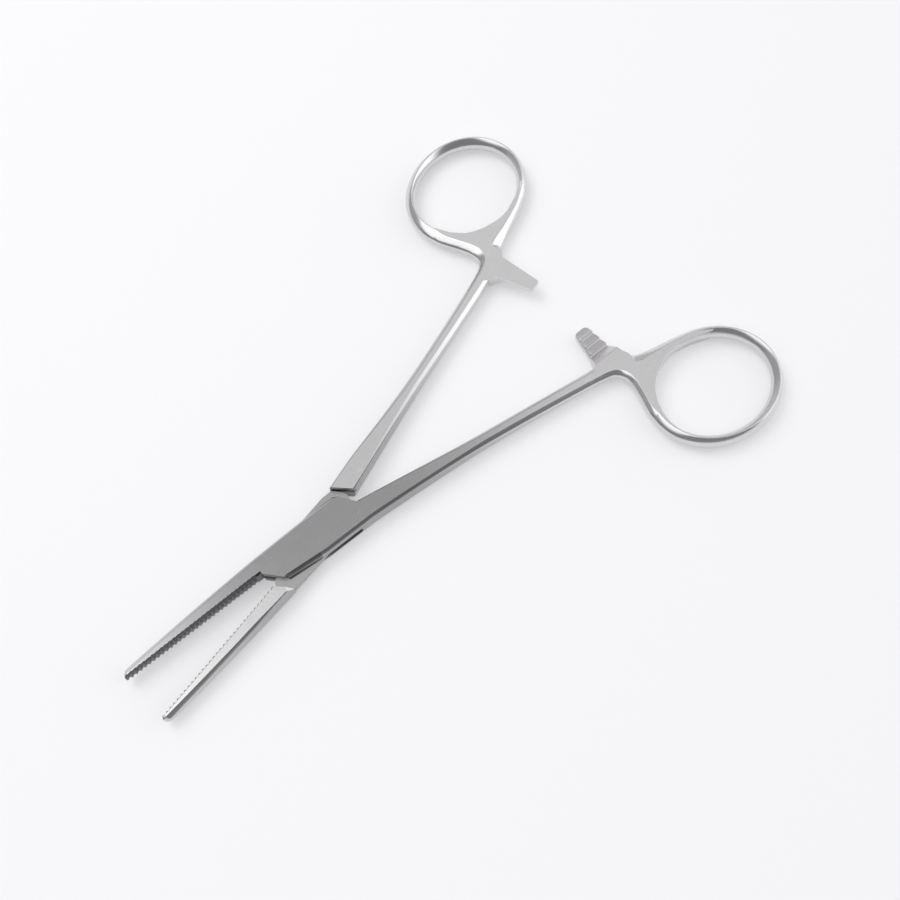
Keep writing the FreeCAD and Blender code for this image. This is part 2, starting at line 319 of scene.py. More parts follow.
def cap(rows: int, first: int, striped: bool) -> list[list[int]]:
    """The faces that close an end of a bar.

    Args:
        rows: Points round a section.
        first: Number of the section's first point.
        striped: True for strips between the upper and the lower points, which suit a bent section too,
            and False for one face.

    Returns:
        The faces.
    """
    if not striped:
        return [[first + row for row in range(rows)]]
    faces = []
    for row in range(rows // 2):
        face = [first + row, first + row + 1, first + (rows - row - 1) % rows, first + (rows - row) % rows]
        faces.append(list(dict.fromkeys(face)))
    return faces


def shell(
    grid: Array,
    zones: Slots | None = None,
    looped: bool = False,
    striped: bool = True,
    end: Zone = Zone.GROUND,
) -> Shell:
    """Closes a grid of sections into a shell whose faces point outwards.

    Args:
        grid: Sections, rows round a section, and x, y and z.
        zones: Material slots, one row for each section and one column for each strip round it.
        looped: True if the last section joins the first, and False if both ends are capped.
        striped: True if caps are strips between upper and lower points.
        end: The finish of the caps.

    Returns:
        Vertices, faces and the material slot of each face.
    """
    sections, rows = grid.shape[:2]
    spans = sections if looped else sections - 1
    first = np.arange(spans)[:, None] * rows
    after = (np.arange(spans)[:, None] + 1) % sections * rows
    row = np.arange(rows)[None, :]
    beside = (row + 1) % rows
    quads = np.stack([first + row, first + beside, after + beside, after + row], axis=-1)
    faces = quads.reshape(-1, 4).tolist()
    if zones is None:
        zones = np.full((sections, rows), Zone.GROUND.value, dtype=np.int32)
    slots = zones[:spans].ravel().tolist()
    if not looped:
        caps = [face[::-1] for face in cap(rows, 0, striped)]
        caps += cap(rows, (sections - 1) * rows, striped)
        faces += caps
        slots = slots + [end.value] * len(caps)
    points = grid.reshape(-1, 3)
    if signed_volume(points, faces) < 0:
        faces = [face[::-1] for face in faces]
    return points, faces, slots


def place_half(points: Array, side: Side, opening: float, lift: float) -> Array:
    """Sets a half's points down in the frame of the whole, in metres.

    The male half is mirrored in y. Each half turns by half of the opening, away from the other.

    Args:
        points: Points in a half's own frame, in millimetres.
        side: Which half.
        opening: Angle between the halves at rest, in degrees.
        lift: Height of the middle plane above the table, in millimetres.

    Returns:
        The placed points.
    """
    sign = 1.0 if side is Side.MALE else -1.0
    turn = math.radians(sign * opening / 2)
    x, y, z = points[:, 0], -sign * points[:, 1], points[:, 2]
    turned = [x * math.cos(turn) - y * math.sin(turn), x * math.sin(turn) + y * math.cos(turn), z + lift]
    return np.stack(turned, axis=1) * MM


@dataclass
class Builder:
    """Turns shells into placed objects.

    Attributes:
        opening: Angle between the halves at rest, in degrees.
        lift: Height of the middle plane above the table, in millimetres.
        sharp: Angle in degrees past which an edge between two faces stays sharp.
    """

    opening: float
    lift: float
    sharp: float = 26.0

    def piece(
        self, name: str, side: Side, parts: Shell, finishes: list[bpy.types.Material]
    ) -> bpy.types.Object:
        """Makes one object of a closed shell.

        Args:
            name: The object's name.
            side: Which half it belongs to.
            parts: Vertices, faces and the material slot of each face.
            finishes: One material for each zone.

        Returns:
            The object, at the origin, with its place in its mesh.
        """
        points, faces, slots = parts
        if side is Side.MALE:
            faces = [face[::-1] for face in faces]
        mesh = bpy.data.meshes.new(name)
        mesh.from_pydata(place_half(points, side, self.opening, self.lift).tolist(), [], faces)
        for finish in finishes:
            mesh.materials.append(finish)
        mesh.polygons.foreach_set("material_index", np.array(slots, dtype=np.int32))
        mesh.update()
        made = bpy.data.objects.new(name, mesh)
        bpy.context.scene.collection.objects.link(made)
        self.smooth(mesh)
        return made

    def smooth(self, mesh: bpy.types.Mesh) -> None:
        """Shades a mesh smooth, apart from its sharp edges."""
        mesh.polygons.foreach_set("use_smooth", np.ones(len(mesh.polygons), dtype=bool))
        mesh.set_sharp_from_angle(angle=math.radians(self.sharp))

    def cut(self, piece: bpy.types.Object, tool: bpy.types.Object) -> None:
        """Cuts a closed tool out of a piece and removes the tool.

        Args:
            piece: The object that is cut.
            tool: The closed object that is taken away from it.
        """
        boolean = piece.modifiers.new("cut", "BOOLEAN")
        boolean.operation = "DIFFERENCE"
        boolean.solver = "EXACT"
        boolean.object = tool
        graph = bpy.context.evaluated_depsgraph_get()
        result = bpy.data.meshes.new_from_object(piece.evaluated_get(graph))
        piece.modifiers.clear()
        old, piece.data = piece.data, result
        bpy.data.meshes.remove(old)
        bpy.data.objects.remove(tool)
        self.smooth(piece.data)

    def level_flats(self, piece: bpy.types.Object) -> None:
        """Keeps the big flat faces flat in the shading, up to their softened edges."""
        weighted = piece.modifiers.new("level flats", "WEIGHTED_NORMAL")
        weighted.keep_sharp = True


@dataclass
class Jaw:
    """The jaw from its tip to its root: straight toothed face, half-round back, blunt rounded tip."""

    tip: float = -45.7
    root: float = -14.0
    root_back: float = 3.55
    tip_back: float = 1.62
    belly: float = 0.2
    root_half: float = 2.3
    tip_half: float = 1.38
    tip_round: float = 1.15
    tip_drop: float = 0.7
    root_inset: float = 0.9
    tip_inset: float = 0.95
    root_swell: float = 0.58
    tip_swell: float = 0.3
    pull: float = 1.6
    tooth_pitch: float = 0.94
    tooth_depth: float = 0.42
    tooth_count: int = 31
    tooth_start: float = -16.5
    tooth_land: float = 0.045
    tooth_bevel: float = 0.3
    tooth_swell: float = 0.8
    tooth_pull: float = 4.0
    gap: float = 0.03

    def stations(self) -> Array:
        """The x of each section: two at each crest and root of the teeth, and close ones at the tip."""
        step = np.arange(2 * self.tooth_count + 1)
        crest = self.tooth_start - step * self.tooth_pitch / 2
        teeth = np.concatenate([crest - self.tooth_land, crest + self.tooth_land])
        end = self.tip + self.tip_round * (1 - np.cos(np.linspace(0.0, math.pi / 2, 9)))
        return np.unique(np.round(np.concatenate([teeth[teeth > self.tip], end]), 4))

    def crest(self, x: Array, phase: int) -> Array:
        """How near each section is to a crest: 1 on a crest's land, 0 on a root's, straight between.

        Args:
            x: The x of each section.
            phase: 0 or 1. The two jaws' teeth lie half a pitch apart.

        Returns:
            The share of a full tooth.
        """
        along = (self.tooth_start - x) / self.tooth_pitch + phase / 2
        away = np.abs((along + 0.5) % 1.0 - 0.5) * self.tooth_pitch
        run = self.tooth_pitch / 2 - 2 * self.tooth_land
        tooth = 1 - np.clip((away - self.tooth_land) / run, 0.0, 1.0)
        return np.where(x > self.tooth_start + self.tooth_land, 1.0, tooth)

    def share(self, x: Array) -> Array:
        """How far each section is from the root to the tip, from 0 to 1."""
        return np.clip((x - self.root) / (self.tip - self.root), 0.0, 1.0)

    def rounding(self, x: Array) -> Array:
        """How much the round end takes off: 1 at the very tip and 0 past its radius, as a quarter circle."""
        near = np.clip(1 - (x - self.tip) / self.tip_round, 0.0, 1.0)
        return 1 - np.sqrt(1 - near**2)

    def toothed_side(self, x: Array, phase: int) -> Array:
        """The y of the toothed face: the gap at a crest, and a tooth's depth more at a root."""
        return self.gap + self.tooth_depth * (1 - self.crest(x, phase))

    def back(self, x: Array) -> Array:
        """The y of the back: a straight taper with a slight belly, rounded at the tip."""
        share = self.share(x)
        straight = self.root_back + (self.tip_back - self.root_back) * share
        return straight + 4 * self.belly * share * (1 - share) - 0.95 * self.tip_round * self.rounding(x)

    def half(self, x: Array) -> Array:
        """Half of the jaw's height: a straight taper that dips at the tip."""
        taper = self.root_half + (self.tip_half - self.root_half) * self.share(x)
        return taper - self.tip_drop * self.rounding(x)

    def back_inset(self, x: Array) -> Array:
        """How far the half-round back reaches inwards."""
        return self.root_inset + (self.tip_inset - self.root_inset) * self.share(x)

    def swell(self, x: Array) -> Array:
        """The back's swell: it falls towards the tip, where the back gets rounder."""
        return self.root_swell + (self.tip_swell - self.root_swell) * self.share(x)

    def toothed_inset(self, x: Array, phase: int) -> Array:
        """The bevel at a crest's upper and lower end."""
        return 0.01 + self.tooth_bevel * self.crest(x, phase)


@dataclass
class Shank:
    """The shank's plan and height, from the box lock to the ring's root."""

    start: float = 7.6
    waist: float = 34.8
    end: float = 62.0
    root_width: float = 4.8
    waist_width: float = 2.9
    end_width: float = 3.3
    inner: float = 0.1
    taper: float = 1.4
    lean: float = 0.108
    sweep: float = 0.00046
    root_half: float = 2.3
    end_half: float = 1.525
    root_inset: float = 0.4
    end_inset: float = 0.95
    round_length: float = 30.0
    root_swell: float = 0.88
    end_swell: float = 0.62
    pull: float = 2.0

    def centre(self, x: Array) -> Array:
        """The y of the centre line: it leans away from the closing line and bends a little further."""
        run = x - self.start
        return -self.inner - self.root_width / 2 - self.lean * run - self.sweep * run * run

    def width(self, x: Array) -> Array:
        """The shank's width: it narrows fast behind the box lock, then widens a little."""
        before = np.clip((self.waist - x) / (self.waist - self.start), 0.0, 1.0)
        past = np.clip((x - self.waist) / (self.end - self.waist), 0.0, 1.0)
        narrowing = (self.root_width - self.waist_width) * before**self.taper
        return self.waist_width + narrowing + (self.end_width - self.waist_width) * past**2

    def half(self, x: Array) -> Array:
        """Half of the shank's height over its flats, eased from the box lock to the ring's root."""
        share = (x - self.start) / (self.end - self.start)
        return self.root_half + (self.end_half - self.root_half) * eased(share)

    def rounded(self, x: Array) -> Array:
        """How far each section has gone from the squared-off root to the rounded shank, from 0 to 1."""
        return eased((x - self.start) / self.round_length)

    def inset(self, x: Array) -> Array:
        """How far the flanks reach inwards."""
        return self.root_inset + (self.end_inset - self.root_inset) * self.rounded(x)


@dataclass
class Ring:
    """The finger ring and the ground web that joins it to the shank.

    The hole is an ellipse, and the ring's wall is measured along the ellipse's normals. The angle along
    the hole is the ellipse's own parameter, counted from its long axis.
    """

    centre: Point = (78.97, -26.5)
    hole_long: float = 12.85
    hole_short: float = 10.55
    tilt: float = -4.7
    wall: float = 2.35
    half: float = 2.0
    sections: int = 288
    flat_half: float = 1.525
    flat_slope: float = 0.03
    flat_start: Point = (67.0, -12.0)
    root_angle: float = 138.0
    sharp_inset: float = 0.12
    sharp_reach: float = 60.0
    wide_inset: float = 1.9
    wide_reach: float = 75.0
    far_outer: float = 0.95
    far_inner: float = 1.3
    soft: float = 0.07
    proud: float = 0.015
    web_sections: int = 96
    web_swell: float = 0.5
    outer_flank: tuple[Point, ...] = (
        (63.6, -11.8),
        (65.2, -12.6),
        (66.1, -13.95),
        (66.25, -15.8),
        (65.8, -18.2),
        (65.05, -21.2),
        (64.75, -23.6),
        (65.2, -26.2),
    )
    outer_inset: tuple[Point, ...] = (
        (0.0, 0.95),
        (0.15, 1.0),
        (0.35, 1.15),
        (0.6, 1.25),
        (0.8, 1.3),
        (1.0, 1.4),
    )
    inner_flank: tuple[Point, ...] = (
        (65.2, -8.45),
        (68.4, -8.8),
        (69.9, -9.6),
        (71.25, -11.3),
        (74.4, -12.45),
        (79.6, -13.85),
        (84.4, -15.6),
        (88.0, -18.4),
    )
    inner_inset: tuple[Point, ...] = (
        (0.0, 0.95),
        (0.12, 0.9),
        (0.24, 0.5),
        (0.3, 0.3),
        (0.345, 0.9),
        (0.39, 2.4),
        (0.45, 2.75),
        (0.55, 2.4),
        (0.69, 1.95),
        (0.84, 1.7),
        (1.0, 1.5),
    )

    def along_hole(self, angle: Array) -> tuple[Array, Array]:
        """Points of the hole's ellipse and its outward normals.

        Args:
            angle: The ellipse's parameter in radians, counted before the tilt.

        Returns:
            Plan points and unit normals.
        """
        tilt = math.radians(self.tilt)
        turn = np.array([[math.cos(tilt), math.sin(tilt)], [-math.sin(tilt), math.cos(tilt)]])
        point = np.stack([self.hole_long * np.cos(angle), self.hole_short * np.sin(angle)], axis=-1)
        normal = np.stack([self.hole_short * np.cos(angle), self.hole_long * np.sin(angle)], axis=-1)
        normal /= np.linalg.norm(normal, axis=-1, keepdims=True)
        return point @ turn + np.array(self.centre), normal @ turn

    def flat(self, plan: Array) -> Array:
        """Half height of the ground flats: level at the root, then rising towards the ring's far end.

        Args:
            plan: Plan points.

        Returns:
            The half height at each point.
        """
        away = math.radians(self.root_angle - 180.0)
        run = (plan - np.array(self.flat_start)) @ np.array([math.cos(away), math.sin(away)])
        return self.flat_half + self.flat_slope * np.maximum(run, 0.0)

    def loop(self) -> Bar:
        """The ring's bar: outer side on the right, hole on the left. The hole's edge is sharp at the root."""
        angle = np.linspace(0.0, 2 * math.pi, self.sections, endpoint=False)
        hole, normal = self.along_hole(angle)
        root = math.radians(self.root_angle - self.tilt)
        apart = np.degrees(np.abs((angle - root + math.pi) % (2 * math.pi) - math.pi))
        rounded = eased((apart - 0.35 * self.sharp_reach) / (1.1 * self.sharp_reach))
        flat = np.minimum(self.flat(hole + normal * self.wall / 2) + self.proud, self.half)
        far = eased((apart - self.wide_reach) / (170.0 - self.wide_reach))
        wide = self.wide_inset + (self.far_outer - self.wide_inset) * far
        near = self.sharp_inset + (self.far_inner - self.sharp_inset) * rounded
        return Bar(hole + normal * self.wall, hole, Flank(wide, flat), Flank(near, flat), self.soft)


@dataclass
class Arm:
    """A ratchet arm: half as thick as the web it stands on, with slanted teeth on the side that meets.

    Stations are given as y against plan x, and y against the toothed side's height below the middle plane.
    """

    root: float = -10.5
    tip: float = 0.62
    crest: float = 0.025
    depth: float = 0.5
    pitch: float = 1.95
    first_notch: float = -1.4
    teeth: int = 3
    ramp_end: float = -7.9
    back: float = 1.521
    round_tip: float = 0.75
    bevel: float = 0.5
    bevel_rise: float = 0.8
    edge: float = 0.06
    shank_side: tuple[Point, ...] = (
        (-10.5, 64.4),
        (-9.9, 62.4),
        (-9.35, 61.2),
        (-8.9, 61.9),
        (-8.4, 62.5),
        (-7.9, 62.95),
        (-7.4, 63.3),
        (-6.9, 63.6),
        (-6.3, 63.9),
        (-5.0, 64.3),
        (0.62, 65.42),
    )
    ring_side: tuple[Point, ...] = (
        (-10.5, 70.3),
        (-9.8, 69.95),
        (-9.0, 69.65),
        (-8.0, 69.45),
        (-6.5, 69.2),
        (0.62, 68.66),
    )

    def grid(self, level: int) -> tuple[Array, Slots]:
        """The arm's surface, whose sections run along y.

        The lower arm is worked out. A bevel takes off the teeth's corners on the shank's side: there the
        surface stays below a plane that falls from the crests towards the arm's edge.

        Args:
            level: 1 for the upper arm, whose teeth are below, and -1 for the lower one.

        Returns:
            The points and their material slots.
        """
        notches = self.first_notch - self.pitch * np.arange(self.teeth)
        offsets = np.array([0.2, 0.14, 0.08, 0.0, -0.08, -0.22, -0.34])
        drops = np.array([0.0, 0.01, 0.06, 0.2, 0.42, 0.5, 0.47])
        near = (notches[:, None] + offsets).ravel()
        heights = np.tile(self.crest + drops, self.teeth)
        end = self.tip - self.round_tip * (1 - np.cos(np.linspace(0.0, math.pi / 2, 8)))
        ramp_y = [self.root, self.ramp_end - 0.1, self.ramp_end + 0.12]
        ramp_z = [-self.back, -self.back, -self.back + 0.12]
        knots_y = np.concatenate([ramp_y, near, [self.tip]])
        knots_z = np.concatenate([ramp_z, heights, [self.crest + self.depth]])
        order = np.argsort(knots_y)
        fill = np.linspace(self.root, -5.6, 26)
        y = np.unique(np.round(np.concatenate([knots_y, fill, end]), 4))
        toothed = np.interp(y, knots_y[order], knots_z[order])
        half, middle = (self.back - toothed) / 2, (self.back + toothed) / 2
        past = np.clip(1 - (self.tip - y) / self.round_tip, 0.0, 1.0)
        narrowing = self.round_tip * (1 - np.sqrt(1 - past**2))
        left = np.interp(y, *zip(*self.shank_side)) + narrowing
        right = np.interp(y, *zip(*self.ring_side)) - narrowing
        wall = Flank(self.edge, half)
        sides = (np.stack([x, y], axis=1) for x in (left, right))
        bar = Bar(*sides, wall, wall, self.edge, flank_rows=6, flat_rows=14)
        grid = bar.grid()
        grid[:, :, 2] -= middle[:, None]
        away = grid[:, :, 0] - left[:, None]
        beveled = -self.crest - self.bevel_rise * np.maximum(self.bevel - away, 0.0)
        on_teeth = (y > notches[-1] - 0.03)[:, None] & (grid[:, :, 2] > -0.5 * (self.back + self.depth))
        grid[:, :, 2] = np.where(on_teeth, np.minimum(grid[:, :, 2], beveled), grid[:, :, 2])
        grid[:, :, 2] *= -level
        return grid, bar.zones(Zone.GROUND)


@dataclass
class Half:
    """The forging of one half: its sizes, and the bars of its blade and handle."""

    finishes: list[bpy.types.Material]
    side: Side = Side.FEMALE
    jaw: Jaw = field(default_factory=Jaw)
    shank: Shank = field(default_factory=Shank)
    ring: Ring = field(default_factory=Ring)
    arm: Arm = field(default_factory=Arm)
    box_half: float = 2.3
    shank_step: float = 0.8
    pin_radius: float = 1.5
    level: int = 1
    phase: int = 0

    @property
    def body(self) -> str:
        """The name of the CAD body that this half rides on."""
        return self.side.value

    @property
    def node(self) -> str:
        """The name of the CAD node that this half stands for."""
        return f"{self.side.value}_half"

    def finish(self, builder: Builder, piece: bpy.types.Object) -> bpy.types.Object:
        """Levels a finished piece's flats in the shading, attaches it to its body and hides the CAD node that
        it stands for.
        """
        builder.level_flats(piece)
        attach(piece, self.body)
        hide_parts(self.node)
        LOG.info("%s: %d points", piece.name, len(piece.data.vertices))
        return piece

    def prism(
        self, builder: Builder, name: str, plan: Array, levels: Point, zone: Zone
    ) -> bpy.types.Object:
        """A closed upright block that cuts something out of a piece.

        Args:
            builder: Makes the block.
            name: The block's name.
            plan: Its outline.
            levels: Heights of its lower and its upper face.
            zone: The finish that it leaves behind.

        Returns:
            The block.
        """
        ends = [np.column_stack([plan, np.full(len(plan), z)]) for z in levels]
        zones = np.full((2, len(plan)), zone.value, dtype=np.int32)
        parts = shell(np.stack(ends), zones, striped=False, end=zone)
        return builder.piece(name, self.side, parts, self.finishes)

    def pin_hole(self, builder: Builder) -> bpy.types.Object:
        """A round block that cuts the hole of the rivet pin."""
        angle = np.linspace(0.0, 2 * math.pi, 64, endpoint=False)
        circle = self.pin_radius * np.stack([np.cos(angle), np.sin(angle)], axis=1)
        reach = 3 * self.box_half
        return self.prism(builder, "pin_hole", circle, (-reach, reach), Zone.GROUND)

    def web_bar(self, shank: Bar) -> Bar:
        """The web, from the shank's last section to inside the ring's wall.

        Args:
            shank: The shank's bar.

        Returns:
            The web's own bar.
        """
        ring = self.ring
        count = ring.web_sections
        outer = through([tuple(shank.right[-1]), *ring.outer_flank], count + 1)[1:]
        inner = through([tuple(shank.left[-1]), *ring.inner_flank], count + 1)[1:]
        share = np.linspace(0.0, 1.0, count)
        begun = eased(share * 4)
        swell = self.shank.end_swell + (ring.web_swell - self.shank.end_swell) * begun
        pull = self.shank.pull + (1 - self.shank.pull) * begun
        level = np.full(count, ring.flat_half)
        flanks = (
            Flank(np.interp(share, *zip(*inset)), level, swell, pull)
            for inset in (ring.outer_inset, ring.inner_inset)
        )
        return Bar(outer, inner, *flanks, ring.soft)

    def bend_towards_ring(self, count: int) -> Callable[[Array], Array]:
        """Bends the web's last sections, which would cross the finger hole, round its edge.

        The last straight section is drawn into the ring's wall, point by point: close to the hole in the
        middle, and close to the outer side at both ends, by the fourth power of the way from the middle.
        Earlier ones take a share of that shift that grows from 0 at the shank with the square of their place.

        Args:
            count: How many sections the whole bar has.

        Returns:
            A function from places across the flats to plan shifts.
        """
        ring = self.ring
        ends = np.array([ring.outer_flank[-1], ring.inner_flank[-1]])
        angle = np.linspace(0.0, 2 * math.pi, 720)
        hole, normal = ring.along_hole(angle)
        middle = hole + normal * ring.wall / 2
        first, last = (angle[int(np.argmin(np.linalg.norm(middle - end, axis=1)))] for end in ends)
        weight = np.zeros(count)
        weight[-ring.web_sections :] = np.linspace(0.0, 1.0, ring.web_sections) ** 2

        def shift(place: Array) -> Array:
            """The plan shift at each place, where 0 is the flat's right edge and 1 its left."""
            at_hole, outward = ring.along_hole(first + (last - first) * place)
            reach = ring.wall * (0.25 + 0.6 * (2 * place[..., None] - 1) ** 4)
            target = at_hole + outward * reach
            straight = ends[0] + (ends[1] - ends[0]) * place[..., None]
            return (target - straight) * weight[:, None, None]

        return shift

    def split(
        self, builder: Builder, bar: Bar, zones: Slots, seam_x: float, names: tuple[str, str], start: Zone
    ) -> list[bpy.types.Object]:
        """Makes two objects of a bar that ends in the web.

        Args:
            builder: Makes the objects.
            bar: The bar.
            zones: Its material slots.
            seam_x: The x at which the second object starts.
            names: The objects' names.
            start: The finish of the first object's caps.

        Returns:
            The two objects.
        """
        grid, seam = self.forged(bar), bar.before(seam_x)
        first = shell(grid[: seam + 1], zones[: seam + 1], end=start)
        second = shell(grid[seam:], zones[seam:])
        return [
            builder.piece(name, self.side, parts, self.finishes)
            for name, parts in zip(names, (first, second))
        ]

    def forged(self, bar: Bar) -> Array:
        """The surface of a bar that ends in the web, whose flats slope like the ring's.

        Args:
            bar: The bar, level over the web.

        Returns:
            The points.
        """
        grid = bar.grid(self.bend_towards_ring(len(bar.right)))
        web = grid[-self.ring.web_sections :]
        web[..., 2] *= self.ring.flat(web[..., :2]) / self.ring.flat_half
        return grid

    def finger_ring(self, builder: Builder) -> bpy.types.Object:
        """The closed ring."""
        bar = self.ring.loop()
        parts = shell(bar.grid(), bar.zones(), looped=True)
        name = f"{self.body}_ring"
        return self.finish(builder, builder.piece(name, self.side, parts, self.finishes))

    def ratchet_arm(self, builder: Builder) -> bpy.types.Object:
        """The ratchet arm with its teeth."""
        parts = shell(*self.arm.grid(self.level))
        name = f"{self.body}_arm"
        return self.finish(builder, builder.piece(name, self.side, parts, self.finishes))


@dataclass
class FemaleHalf(Half):
    """The half with the box: two cheeks with the slot between them, jaw, shank, ring and lower arm."""

    side: Side = Side.FEMALE
    level: int = -1
    phase: int = 0
    front_corner: Point = (-15.25, -0.37)
    front_edge: Point = (-12.45, -3.43)
    rear_corner: Point = (4.91, 2.92)
    rear_root: Point = (7.6, -0.95)
    outer_knots: tuple[Point, ...] = ((-16.25, 3.75), (-3.0, 4.85), (7.6, 4.9))
    back_knots: tuple[Point, ...] = ((-14.0, 3.55), (-3.0, 3.85), (7.6, 3.95))
    outer_inset: float = 0.8
    outer_swell: float = 0.64
    outer_pull: float = 3.0
    back_inset: float = 0.95
    sharp_inset: float = 0.02
    front_turn: float = 0.63
    rear_top: float = 3.93
    inner_drop: float = 0.1
    outer_run: float = 40.0
    soft_edge: tuple[Point, ...] = ((-45.7, 0.05), (10.0, 0.06), (40.0, 0.07))
    seam_x: float = 13.0
    slot_half: float = 0.8
    slot_front: tuple[Point, Point] = ((-4.6, 4.25), (-15.38, 0.1))
    slot_rear: Point = (5.67, -3.56)
    slot_rear_angle: float = 57.9
    slot_reach: float = 24.0
    slot_rear_reach: float = 17.0
    slot_far: Point = (-26.0, -18.0)

    def rear_x(self, y: float) -> float:
        """The x at which the slanted rear edge of the box reaches y."""
        (root_x, root_y), (corner_x, corner_y) = self.rear_root, self.rear_corner
        return root_x + (y - root_y) * (corner_x - root_x) / (corner_y - root_y)

    def cheeks(self) -> Bar:
        """Jaw and box as one bar, with slanted edges in front and behind."""
        jaw = self.jaw
        (corner_x, corner_y), (edge_x, edge_y) = self.front_corner, self.front_edge
        turn_x, foot_y = edge_x + self.front_turn, -self.shank.inner - self.inner_drop
        steps = (self.rear_top, self.rear_top - self.back_inset, foot_y)
        back_x, wall_x, foot_x = (self.rear_x(y) for y in steps)
        marks = [-16.4, corner_x - 0.02, corner_x, corner_x + 0.05, edge_x, turn_x, back_x, wall_x, foot_x]
        fill = np.concatenate([np.linspace(turn_x, back_x, 14), np.linspace(wall_x, foot_x, 6)])
        x = np.unique(np.round(np.concatenate([jaw.stations(), marks, fill]), 4))
        x = x[x < self.shank.start - 0.1]
        in_jaw, behind = x < corner_x, x >= back_x

        slope = (edge_y - corner_y) / (edge_x - corner_x)
        front = np.maximum(corner_y + slope * (x - corner_x), -np.interp(x, *zip(*self.outer_knots)))
        right = np.where(in_jaw, jaw.toothed_side(x, self.phase), front)
        left = np.where(x < jaw.root, jaw.back(x), np.interp(x, *zip(*self.back_knots)))
        (root_x, root_y), (rear_x, rear_y) = self.rear_root, self.rear_corner
        rear = root_y + (x - root_x) * ((rear_y - root_y) / (rear_x - root_x))
        left = np.where(behind, np.clip(rear, foot_y, left), left)
        half = np.where(x < jaw.root, jaw.half(x), self.box_half)

        turned = np.interp(x, [edge_x, turn_x], [self.sharp_inset, self.outer_inset])
        right_flank = Flank(
            np.where(in_jaw, jaw.toothed_inset(x, self.phase), turned),
            half,
            np.where(in_jaw, jaw.tooth_swell, np.interp(x, [edge_x, turn_x], [0.5, self.outer_swell])),
            np.where(in_jaw, jaw.tooth_pull, self.outer_pull),
        )
        insets = [self.back_inset, self.sharp_inset, self.sharp_inset]
        left_inset = np.where(x < jaw.root, jaw.back_inset(x), self.back_inset)
        left_inset = np.where(behind, np.interp(x, [back_x, wall_x, foot_x], insets), left_inset)
        left_flank = Flank(left_inset, half, jaw.swell(x), jaw.pull)
        sides = (np.stack([x, y], axis=1) for y in (right, left))
        return Bar(*sides, right_flank, left_flank, np.interp(x, *zip(*self.soft_edge)))

    def shank_bar(self) -> Bar:
        """The shank, whose right flank goes on from the box's and turns into the shank's own."""
        shank = self.shank
        x = np.arange(shank.start, shank.end, self.shank_step)
        near = 1 - eased((x - shank.start) / self.outer_run)
        own = Flank(
            shank.inset(x),
            shank.half(x),
            shank.root_swell + (shank.end_swell - shank.root_swell) * shank.rounded(x),
            shank.pull,
        )
        right_flank = Flank(
            own.inset + (self.outer_inset - own.inset) * near,
            own.flat,
            own.swell + (self.outer_swell - own.swell) * near,
            own.pull + (self.outer_pull - own.pull) * near,
        )
        middle, half_width = shank.centre(x), shank.width(x) / 2
        sides = (np.stack([x, y], axis=1) for y in (middle - half_width, middle + half_width))
        return Bar(*sides, right_flank, own, np.interp(x, *zip(*self.soft_edge)))

    def blade(self, builder: Builder) -> list[bpy.types.Object]:
        """Jaw, box, shank and web as one bar, whose box is cut for the slot and the pin.

        Args:
            builder: Makes and cuts the pieces.

        Returns:
            The jaw with the box, and the handle.
        """
        shank = self.shank_bar()
        bar = Bar.chain(self.cheeks(), shank, self.web_bar(shank))
        # The toothed zone runs on over the box's front face, and the shaded zone goes from there to the slot:
        # painted shade on the right side.
        zones = bar.zones(
            toothed=bar.before(self.front_edge[0]), shaded=bar.before(self.slot_front[0][0])
        )
        names = ("female_box", "female_handle")
        box, handle = self.split(builder, bar, zones, self.seam_x, names, Zone.GROUND)
        builder.cut(box, self.slot(builder))
        builder.cut(box, self.pin_hole(builder))
        return [self.finish(builder, box), self.finish(builder, handle)]

    def slot(self, builder: Builder) -> bpy.types.Object:
        """A block for the space between the cheeks: a wedge between the front and the rear web."""
        start, end = (np.array(point) for point in self.slot_front)
        along = (end - start) / np.linalg.norm(end - start)
        rear = np.array(self.slot_rear)
        lean = math.radians(90 - self.slot_rear_angle)
        up = np.array([math.sin(lean), math.cos(lean)])
        reach = np.linalg.solve(np.column_stack([along, -up]), rear - start)[0]
        corners = [start + along * reach, start + along * self.slot_reach]
        plan = np.array([*corners, self.slot_far, rear - up * self.slot_rear_reach])
        # The slot's walls take the dark hidden colour: painted shade in the recess.
        return self.prism(builder, "slot", plan, (-self.slot_half, self.slot_half), Zone.HIDDEN)


